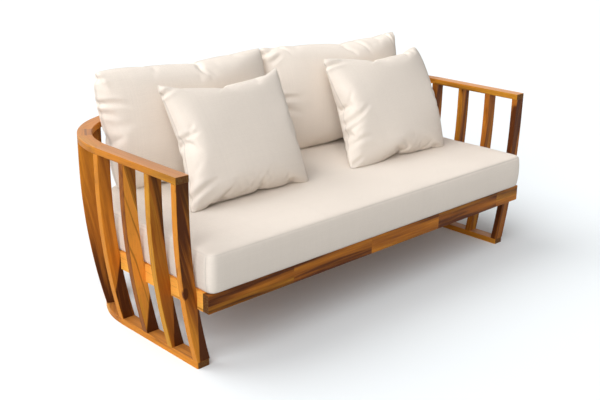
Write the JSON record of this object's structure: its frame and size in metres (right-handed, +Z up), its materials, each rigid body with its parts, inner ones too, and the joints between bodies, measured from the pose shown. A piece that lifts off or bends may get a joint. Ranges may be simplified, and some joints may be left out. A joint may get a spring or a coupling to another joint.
{
  "type": "patio loveseat",
  "caption": "Patio loveseat with a bent-slat hardwood frame that curves round the back, on sled bases, with a long box seat cushion, loose back cushions and throw pillows.",
  "frame": {"origin": "on the floor, in the middle of the whole piece's width and depth", "axes": "+X along the width, to the right as seen from the front; -Y to the front, where a sitter's feet are; +Z up"},
  "size_m": [1.733, 0.857, 0.8159],
  "materials": {
    "oiled_hardwood": "satin oiled hardwood with orange-brown figure",
    "deck_wood": "plain sawn hardwood",
    "dowel_beech": "plain turned wood",
    "bolt_steel": "zinc plated",
    "screw_steel": "yellow zinc plated",
    "cream_fabric": "plain woven cream outdoor cloth"
  },
  "bodies": {
    "frame": {"arm_rail_left": "oiled_hardwood", "arm_rail_right": "oiled_hardwood", "back_rail": "oiled_hardwood", "back_slat_1": "oiled_hardwood", "back_slat_2": "oiled_hardwood", "back_slat_3": "oiled_hardwood", "back_slat_4": "oiled_hardwood", "back_slat_5": "oiled_hardwood", "back_slat_6": "oiled_hardwood", "base_corner_left": "oiled_hardwood", "base_corner_right": "oiled_hardwood", "base_rail_left": "oiled_hardwood", "base_rail_right": "oiled_hardwood", "corner_block_left": "deck_wood", "corner_block_right": "deck_wood", "corner_rail_left_1": "oiled_hardwood", "corner_rail_left_2": "oiled_hardwood", "corner_rail_left_3": "oiled_hardwood", "corner_rail_right_1": "oiled_hardwood", "corner_rail_right_2": "oiled_hardwood", "corner_rail_right_3": "oiled_hardwood", "corner_slat_left_1": "oiled_hardwood", "corner_slat_left_2": "oiled_hardwood", "corner_slat_left_3": "oiled_hardwood", "corner_slat_right_1": "oiled_hardwood", "corner_slat_right_2": "oiled_hardwood", "corner_slat_right_3": "oiled_hardwood", "cross_bearer_left": "deck_wood", "cross_bearer_right": "deck_wood", "rail_dowels": "dowel_beech", "seat_back_rail": "oiled_hardwood", "seat_bolts": "bolt_steel", "seat_corner_rail_left": "oiled_hardwood", "seat_corner_rail_right": "oiled_hardwood", "seat_front_rail": "oiled_hardwood", "seat_side_rail_left": "oiled_hardwood", "seat_side_rail_right": "oiled_hardwood", "seat_slat_1": "deck_wood", "seat_slat_2": "deck_wood", "seat_slat_3": "deck_wood", "seat_slat_4": "deck_wood", "seat_slat_5": "deck_wood", "side_ledger_left": "deck_wood", "side_ledger_right": "deck_wood", "side_slat_left_1": "oiled_hardwood", "side_slat_left_2": "oiled_hardwood", "side_slat_left_3": "oiled_hardwood", "side_slat_left_4": "oiled_hardwood", "side_slat_right_1": "oiled_hardwood", "side_slat_right_2": "oiled_hardwood", "side_slat_right_3": "oiled_hardwood", "side_slat_right_4": "oiled_hardwood", "slat_screws": "screw_steel"},
    "seat_cushion": {"seat_cushion": "cream_fabric"},
    "back_cushion_left": {"back_cushion_left": "cream_fabric"},
    "back_cushion_right": {"back_cushion_right": "cream_fabric"},
    "throw_pillow_left": {"throw_pillow_left": "cream_fabric"},
    "throw_pillow_right": {"throw_pillow_right": "cream_fabric"}
  },
  "joints": [
    {"name": "seat_cushion_lift", "type": "slide", "parent": "frame", "child": "seat_cushion", "axis": [0, 0, 1], "range_m": [0, 0.38]},
    {"name": "back_cushion_left_lift", "type": "slide", "parent": "seat_cushion", "child": "back_cushion_left", "axis": [0, 0.0628, 0.998], "range_m": [0, 0.25]},
    {"name": "back_cushion_right_lift", "type": "slide", "parent": "seat_cushion", "child": "back_cushion_right", "axis": [0, 0.0628, 0.998], "range_m": [0, 0.25]},
    {"name": "throw_pillow_left_lift", "type": "slide", "parent": "seat_cushion", "child": "throw_pillow_left", "axis": [0, 0, 1], "range_m": [0, 0.25]},
    {"name": "throw_pillow_right_lift", "type": "slide", "parent": "seat_cushion", "child": "throw_pillow_right", "axis": [0, 0, 1], "range_m": [0, 0.25]}
  ]
}
